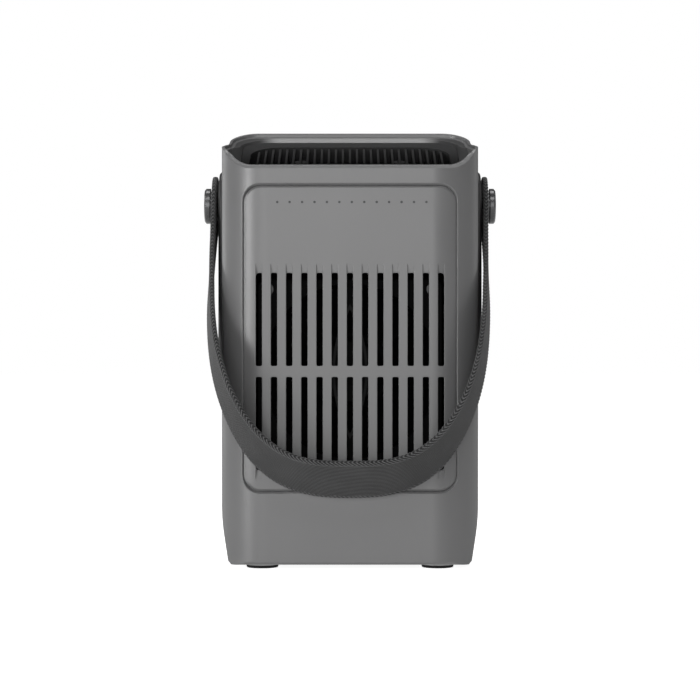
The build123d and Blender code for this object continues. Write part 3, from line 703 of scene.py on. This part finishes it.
# ------------------------------------------------------------------ strap
@dataclass
class Strap:
    """The webbing strap: a flat woven band, a round-ended tab at each pivot, and a braided selvedge
    that runs round the whole outline."""

    pivot_y: float = 0.0116
    pivot_z: float = 0.1854
    half_span: float = 70.45 * MM
    drop: float = 153.4 * MM
    straight: float = 23.0 * MM
    squareness: float = 2.9
    lean_deg: float = 25.3
    forward: float = 13.5 * MM
    sway: float = 0.75 * MM
    twist: tuple[tuple[float, float], ...] = (
        (0.0, 0.0),
        (0.15, 3.4),
        (0.3, 6.0),
        (0.6, 7.0),
        (0.8, 9.5),
        (1.0, 11.5),
    )
    half_width: float = 15.2 * MM
    half_thick: float = 1.25 * MM
    hole: float = 7.5 * MM
    rib: float = 1.25 * MM
    rib_height: float = 0.24 * MM
    rib_skew: float = 0.1
    braid: float = 2.1 * MM
    braid_height: float = 0.28 * MM
    slack: float = 0.6 * MM
    table: dict[str, Numbers] = field(default_factory=dict)
    length: float = 0.0
    down: Numbers = field(default_factory=lambda: np.zeros(3))

    def lay_out(self) -> None:
        """Works out the middle line of the strap and its directions.

        The half loop is a superellipse: half width = span * cos(t)^(2/p) and drop = straight +
        (drop - straight) * sin(t)^(2/p), after a straight run at the pivot. It lies in a plane that
        leans forward, bows forward by a sine of the squared drop, and turns about its own line by
        the twist, which grows towards the bottom.
        """
        turn = np.linspace(0, math.pi / 2, 1200)[1:]
        power = 2 / self.squareness
        x = -self.half_span * np.cos(turn).clip(0) ** power
        s = self.straight + (self.drop - self.straight) * np.sin(turn) ** power
        x = np.concatenate([np.full(60, -self.half_span), x])
        s = np.concatenate([np.linspace(0, self.straight, 61)[:-1], s])
        x = np.concatenate([x, -x[-2::-1]])
        s = np.concatenate([s, s[-2::-1]])
        x = x - self.sway * np.sin(math.pi * s / self.drop)
        flat = np.concatenate([[0], np.cumsum(np.hypot(np.diff(x), np.diff(s)))])
        even = np.linspace(0, flat[-1], 1600)
        x, s = np.interp(even, flat, x), np.interp(even, flat, s)
        tx, ts = np.gradient(x, even), np.gradient(s, even)
        size = np.hypot(tx, ts)
        tx, ts = tx / size, ts / size
        u = 1 - np.abs(1 - 2 * even / even[-1])
        knots = np.array(self.twist)
        step = np.clip(np.searchsorted(knots[:, 0], u, side="right") - 1, 0, len(knots) - 2)
        k = (u - knots[step, 0]) / (knots[step + 1, 0] - knots[step, 0])
        k = k * k * (3 - 2 * k) * 0.35 + k * 0.65
        turned = np.radians(knots[step, 1] + (knots[step + 1, 1] - knots[step, 1]) * k)[:, None]
        lean = math.radians(self.lean_deg)
        down = np.array([0, -math.sin(lean), -math.cos(lean)])
        ahead = np.array([0, -math.cos(lean), math.sin(lean)])
        inward = ts[:, None] * np.array([1.0, 0, 0]) - down * tx[:, None]
        bow = self.forward * np.sin(math.pi * (s / self.drop) ** 2)
        origin = np.array([0, self.pivot_y, self.pivot_z])
        line = origin + np.array([1.0, 0, 0]) * x[:, None] + down * s[:, None] + ahead * bow[:, None]
        across = ahead * np.cos(turned) + inward * np.sin(turned)
        through = inward * np.cos(turned) - ahead * np.sin(turned)
        length = np.concatenate([[0], np.cumsum(np.linalg.norm(np.diff(line, axis=0), axis=1))])
        self.table = {"length": length, "line": line, "across": across, "through": through}
        self.length = float(length[-1])
        self.down = down

    def frame_at(self, along: Numbers) -> tuple[Numbers, Numbers, Numbers]:
        """The middle line and directions at distances along the strap.

        Args:
            along: distances from the left pivot; past either pivot the strap runs on straight.

        Returns:
            The points, the across directions and the through directions.
        """
        inner = np.clip(along, 0, self.length)
        known = self.table["length"]
        got = [
            np.stack([np.interp(inner, known, self.table[key][:, i]) for i in range(3)], -1)
            for key in ("line", "across", "through")
        ]
        past = (along - inner) * np.where(along < 0, 1, -1)
        loose = self.slack * np.sin(math.pi * inner / self.length) ** 0.4
        outward = -got[2] * loose[..., None]
        return got[0] + self.down * past[..., None] + outward, got[1], got[2]

    def surface(self, along: Numbers, across: Numbers, through: Numbers) -> Numbers:
        """Points of the strap: middle line + across direction * across + through direction * through."""
        line, side, out = self.frame_at(along)
        return line + side * across[..., None] + out * through[..., None]

    def ribs(self, along: Numbers, across: Numbers) -> Numbers:
        """Height of the twill ribs, 0 to 1: a rounded sine across the width that drifts along it."""
        wave = 0.5 + 0.5 * np.cos(2 * math.pi * (across + along * self.rib_skew) / self.rib)
        return wave**0.7

    def make_band(self) -> bpy.types.Object:
        """The woven band between the tabs.

        Its section is two ribbed faces joined by short edges that the selvedge hides: rows run
        along the strap, columns round the section.
        """
        reach = self.half_width - 1.0 * MM
        face = np.linspace(-reach, reach, 112)
        across = np.concatenate([face, face[::-1]])
        side = np.concatenate([np.ones(112), -np.ones(112)])
        start = self.half_width - 0.6 * MM
        along = np.linspace(start, self.length - start, 400)
        a, w = np.meshgrid(along, across, indexing="ij")
        yarn = self.ribs(a, w)
        thick = side * (self.half_thick - 0.25 * MM + self.rib_height * yarn)
        piece = skin("strap_band", self.surface(a, w, thick), False, True, caps=True)
        note(piece, yarn, a, w)
        return piece

    def make_tab(self, name: str, right: bool) -> bpy.types.Object:
        """One round-ended tab with its eyelet hole.

        A ring round the pivot: rows turn about it, columns go out over one face, round the rim and
        back over the other. The ring's outline is a circle above the pivot and square below it, so
        that it meets the band.

        Args:
            name: the piece's name.
            right: whether it is the tab at the right pivot.

        Returns:
            The tab.
        """
        phi = np.linspace(0, 2 * math.pi, 181)[:-1]
        rim = self.half_width - 0.9 * MM
        square = rim / np.maximum(np.abs(np.sin(phi)), np.abs(np.cos(phi)))
        outline = np.where(np.cos(phi) > 0, square, rim)
        share = np.linspace(0, 1, 32)
        share = np.concatenate([share, share[::-1]])
        side = np.concatenate([np.ones(32), -np.ones(32)])
        radius = self.hole - 0.1 * MM + (outline[:, None] - self.hole) * share[None, :]
        a = radius * np.cos(phi)[:, None]
        w = radius * np.sin(phi)[:, None]
        if right:
            a = self.length - a
        yarn = self.ribs(a, w)
        thick = side[None, :] * (self.half_thick - 0.25 * MM + self.rib_height * yarn)
        points = self.surface(a, w, thick)
        if right:
            points, yarn, a, w = points[::-1], yarn[::-1], a[::-1], w[::-1]
        piece = skin(name, points, True, True)
        note(piece, yarn, a, w)
        return piece

    def make_selvedge(self) -> bpy.types.Object:
        """The braided edge as one closed loop round the outline.

        A tube of oval section along both edges and round both ends. Its relief is a chevron: a
        cosine of (distance along the loop - angle away from the outer edge), so that the yarns meet
        in a row of arrowheads.
        """
        inset = self.half_width - 1.0 * MM
        run = np.linspace(0, self.length, 1150)
        bend = np.linspace(0, math.pi, 150)[1:-1]
        sine, cosine = np.sin(bend), np.cos(bend)
        still, side = np.zeros(len(run)), np.ones(len(run))
        a = np.concatenate([run, self.length + inset * sine, run[::-1], -inset * sine])
        out_a = np.concatenate([still, sine, still, -sine])
        out_w = np.concatenate([side, cosine, -side, -cosine])
        w = inset * out_w
        line, across, _ = self.frame_at(a)
        steps = np.linalg.norm(np.diff(line + across * w[:, None], axis=0), axis=1)
        travelled = np.concatenate([[0], np.cumsum(steps)])
        travelled *= round(travelled[-1] / self.braid) * self.braid / travelled[-1]
        theta = np.linspace(-math.pi, math.pi, 27)[:-1]
        phase = travelled[:, None] / self.braid - np.abs(theta)[None, :] * 0.85
        chevron = 0.5 + 0.5 * np.cos(2 * math.pi * phase)
        swell = self.braid_height * (chevron - 0.55)
        wide = 1.15 * MM + swell
        tall = self.half_thick + 0.02 * MM + swell
        push = wide * np.sign(np.cos(theta)) * np.abs(np.cos(theta)) ** 0.7
        rise = tall * np.sign(np.sin(theta)) * np.abs(np.sin(theta)) ** 0.7
        run_out = a[:, None] + out_a[:, None] * push
        side_out = w[:, None] + out_w[:, None] * push
        points = self.surface(run_out, side_out, rise)
        piece = skin("strap_selvedge", points[:, ::-1], True, True)
        note(
            piece,
            chevron[:, ::-1],
            np.broadcast_to(travelled[:, None], chevron.shape),
            np.broadcast_to(theta[None, ::-1] * MM, chevron.shape),
        )
        return piece

    def make(self) -> None:
        """Makes and dresses the strap."""
        self.pivot_y = (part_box("shell")[0].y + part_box("shell")[1].y) / 2
        self.lay_out()
        # painted highlight and shade: the yarn crowns are coloured lighter, the gaps darker
        faces = Yarn("webbing_face", (0.004, 0.004, 0.0042), (0.079, 0.079, 0.08), 1.4).make()
        edges = Yarn("webbing_edge", (0.003, 0.003, 0.0032), (0.15, 0.15, 0.152), 2.4).make()
        band = self.make_band()
        pieces = [(band, faces), (self.make_tab("strap_tab_l", False), faces)]
        pieces += [(self.make_tab("strap_tab_r", True), faces), (self.make_selvedge(), edges)]
        for piece, material in pieces:
            piece.data.materials.append(material)
            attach(piece, "strap")
            LOG.info("%s: %d faces", piece.name, len(piece.data.polygons))
        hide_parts("webbing")


# ------------------------------------------------------------------ case
@dataclass
class Marks:
    """A plain row of small round dots printed near the top of the front panel."""

    count: int = 13
    first_x: float = -36.4 * MM
    last_x: float = 38.2 * MM
    height: float = 184.0 * MM
    radius: float = 0.62 * MM
    proud: float = 0.06 * MM

    def make(self) -> None:
        """Makes the dots: each is a low dome, height = proud * cos of the way out from its middle."""
        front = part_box("front_panel")[0].y
        ring = np.linspace(0, 1, 4)[1:]
        turn = np.linspace(0, 2 * math.pi, 17)[:-1]
        local = [np.zeros((1, 2))]
        local += [np.stack([r * np.cos(turn), r * np.sin(turn)], -1) for r in ring]
        disc = np.concatenate(local) * self.radius
        rise = self.proud * np.cos(np.linalg.norm(disc, axis=1) / self.radius * math.pi / 2)
        middle = np.linspace(self.first_x, self.last_x, self.count)
        points = np.zeros((self.count, len(disc), 3))
        points[..., 0] = middle[:, None] + disc[None, :, 0]
        points[..., 1] = front - rise[None, :] - 0.004 * MM
        points[..., 2] = self.height + disc[None, :, 1]
        here = 1 + np.arange(len(turn))
        after = np.roll(here, -1)
        fan = np.stack([np.zeros_like(here), here, after], -1).tolist()
        rings = [
            np.stack([here, here + len(turn), after + len(turn), after], -1) + r * len(turn)
            for r in range(len(ring) - 1)
        ]
        dome = fan + np.concatenate(rings).tolist()
        faces = [[v + dot * len(disc) for v in face] for dot in range(self.count) for face in dome]
        mesh = bpy.data.meshes.new("front_marks")
        mesh.from_pydata(points.reshape(-1, 3).tolist(), [], faces)
        mesh.polygons.foreach_set("use_smooth", np.ones(len(faces), bool))
        piece = bpy.data.objects.new("front_marks", mesh)
        bpy.context.scene.collection.objects.link(piece)
        ink = Moulded("mark_ink", (0.045, 0.045, 0.046), 0.6, 0.3, 0.004, 0.1, 0.1).make()
        mesh.materials.append(ink)
        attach(piece, "case")
        LOG.info("front_marks: %d dots", self.count)


@dataclass
class ShadeSheet:
    """A thin dark sheet, with the pores of open-cell foam, that stands upright inside the case as painted
    shade and keeps light from showing through.
    """

    name: str
    half_width: float
    low_z: float
    high_z: float
    y: float
    thick: float = 1.2 * MM

    def make(self, shade_black: bpy.types.Material) -> None:
        """Makes the sheet: both faces are grids whose pores are products of two sines.

        Args:
            shade_black: its finish.
        """
        x = np.linspace(-self.half_width, self.half_width, 121)
        z = np.linspace(self.low_z, self.high_z, 165)
        gx, gz = np.meshgrid(x, z, indexing="ij")
        pores = 0.25 * MM * (np.sin(gx * 2100) * np.sin(gz * 2100 + np.sin(gx * 400)))
        front = np.stack([gx, self.y + pores, gz], -1)
        back = np.stack([gx, self.y + self.thick + pores, gz], -1)
        piece = skin(self.name, np.concatenate([front, back[:, ::-1]], 1), False, True, caps=True)
        piece.data.materials.append(shade_black)
        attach(piece, "case")
        LOG.info("%s: %d faces", self.name, len(piece.data.polygons))


@dataclass
class CarriedParts:
    """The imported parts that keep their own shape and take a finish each."""

    materials: dict[str, bpy.types.Material] = field(default_factory=dict)
    own: dict[str, Finish] = field(
        default_factory=lambda: {
            "rim_funnel": Finish.WELL,
            "spider": Finish.LENS,
            # the fan's steel parts take the near black of painted shade
            "rotor_cup": Finish.HIDDEN,
            "fan_screws": Finish.HIDDEN,
            "fan_shaft": Finish.HIDDEN,
            "magnet_ring": Finish.HIDDEN,
            "bearing_front": Finish.HIDDEN,
            "speed_dial": Finish.OUTER,
            "power_button": Finish.OUTER,
            "power_inlet": Finish.OUTER,
        }
    )

    def dress(self) -> None:
        """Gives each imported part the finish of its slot."""
        by_slot = {finish.value[0]: finish for finish in Finish}
        for name, node in sorted(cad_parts.items()):
            for place in node.material_slots:
                slot = place.material.name.split(".")[0]
                finish = self.own.get(name) or by_slot.get(slot)
                if finish is not None:
                    place.material = finish.dress(self.materials)
                    LOG.info("%s: %s", name, finish.name)


# ------------------------------------------------------------------ studio
@dataclass
class Studio:
    """Pale floor, soft lights, and the camera level in front of the fan."""

    distance: float = 1.05
    eye: float = 0.11
    lens: float = 102.857

    def lamp(
        self, name: str, at: Colour, aim: Colour, size: tuple[float, float], power: float
    ) -> None:
        """Adds a soft rectangular light.

        Args:
            name: the light's name.
            at: where it is.
            aim: the point that it faces.
            size: its width and height.
            power: its power in watts.
        """
        data = bpy.data.lights.new(name, "AREA")
        data.shape = "RECTANGLE"
        data.size, data.size_y = size
        data.energy = power
        lamp = bpy.data.objects.new(name, data)
        bpy.context.scene.collection.objects.link(lamp)
        lamp.location = at
        lamp.rotation_euler = (Vector(aim) - Vector(at)).to_track_quat("-Z", "Y").to_euler()

    def make_floor(self) -> None:
        """A pale floor that looks white to the camera and shines softly on the fan."""
        side = np.linspace(-6, 6, 25)
        depth = np.linspace(-6, 8, 29)
        x, y = np.meshgrid(side, depth, indexing="xy")
        floor = skin("floor", np.stack([x, y, np.zeros_like(x)], -1)[::-1], False, False)
        paint = Paint("floor_white")
        tone = paint.blend(paint.noise(0.4, 2.0), (0.86, 0.86, 0.86), (0.9, 0.9, 0.9))
        pale = {"Base Color": tone, "Roughness": 0.9, "Emission Color": (1.0, 1.0, 1.0)}
        seen = paint.node("ShaderNodeBsdfPrincipled", {}, {**pale, "Emission Strength": 0.9})
        dim = {**pale, "Base Color": (0.5, 0.5, 0.5), "Emission Strength": 0.5}
        cast = paint.node("ShaderNodeBsdfPrincipled", {}, dim)
        direct = paint.node("ShaderNodeLightPath", {}, {}, "Is Camera Ray")
        paint.ends(paint.node("ShaderNodeMixShader", {}, {0: direct, 1: cast, 2: seen}))
        floor.data.materials.append(paint.material)

    def make_world(self) -> None:
        """A white surround that looks brighter to the camera than it shines on the fan."""
        paint = Paint("surround", world=True)
        white = (1.0, 1.0, 1.0)
        seen = paint.node("ShaderNodeBackground", {}, {"Color": white, "Strength": 1.0})
        lit = paint.node("ShaderNodeBackground", {}, {"Color": white, "Strength": 0.13})
        direct = paint.node("ShaderNodeLightPath", {}, {}, "Is Camera Ray")
        mixed = paint.node("ShaderNodeMixShader", {}, {0: direct, 1: lit, 2: seen})
        paint.ends(mixed, "ShaderNodeOutputWorld")
        bpy.context.scene.world = paint.material

    def make(self) -> None:
        """Makes the floor, the lights and the camera."""
        low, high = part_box("shell")
        middle = (low.y + high.y) / 2
        data = bpy.data.cameras.new("eye")
        data.lens = self.lens
        data.sensor_width = 36.0
        data.clip_start, data.clip_end = 0.02, 50.0
        camera = bpy.data.objects.new("eye", data)
        bpy.context.scene.collection.objects.link(camera)
        camera.location = (0.0, middle - self.distance, self.eye)
        camera.rotation_euler = (math.pi / 2, 0.0, 0.0)
        bpy.context.scene.camera = camera
        bpy.context.scene.view_settings.view_transform = "Standard"
        self.make_floor()
        self.make_world()
        aim = (0.0, 0.0, 0.12)
        self.lamp("key_left", (-1.25, -1.12, 0.22), aim, (0.2, 1.0), 13.0)
        self.lamp("fill_front", (-0.3, -2.3, 0.45), aim, (1.5, 1.3), 18.5)
        self.lamp("high_front", (0.0, -1.2, 1.6), aim, (1.0, 0.6), 8.0)
        self.lamp("overhead", (0.0, 0.4, 1.7), aim, (1.2, 0.5), 9.0)
        self.lamp("edge_left", (-1.6, 0.7, 0.4), aim, (0.4, 1.2), 5.5)
        self.lamp("edge_right", (1.5, 0.6, 0.4), aim, (0.3, 1.0), 1.3)


def main() -> None:
    """Makes the studio, the finishes, the strap, the marks and the dark sheets of painted shade inside the
    case.
    """
    logging.basicConfig(level=logging.INFO, format="%(name)s %(message)s")
    Studio().make()
    CarriedParts().dress()
    Strap().make()
    Marks().make()
    # painted shade: near-black sheets behind the fan and inside the rear panel keep the inside of the case
    # dark
    shade_black = Moulded("shade_sheet_black", (0.004, 0.004, 0.004), 0.95, 1.2, 0.2, 0.2, 0.0, 0.05).make()
    behind_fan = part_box("fan_frame")[1].y + 0.4 * MM
    inside_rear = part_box("rear_panel")[0].y - 2.0 * MM
    ShadeSheet("shade_sheet_fan", 60.0 * MM, 53.0 * MM, 176.0 * MM, behind_fan).make(shade_black)
    ShadeSheet("shade_sheet_rear", 54.0 * MM, 52.5 * MM, 151.0 * MM, inside_rear).make(shade_black)


if __name__ == "__main__":
    main()
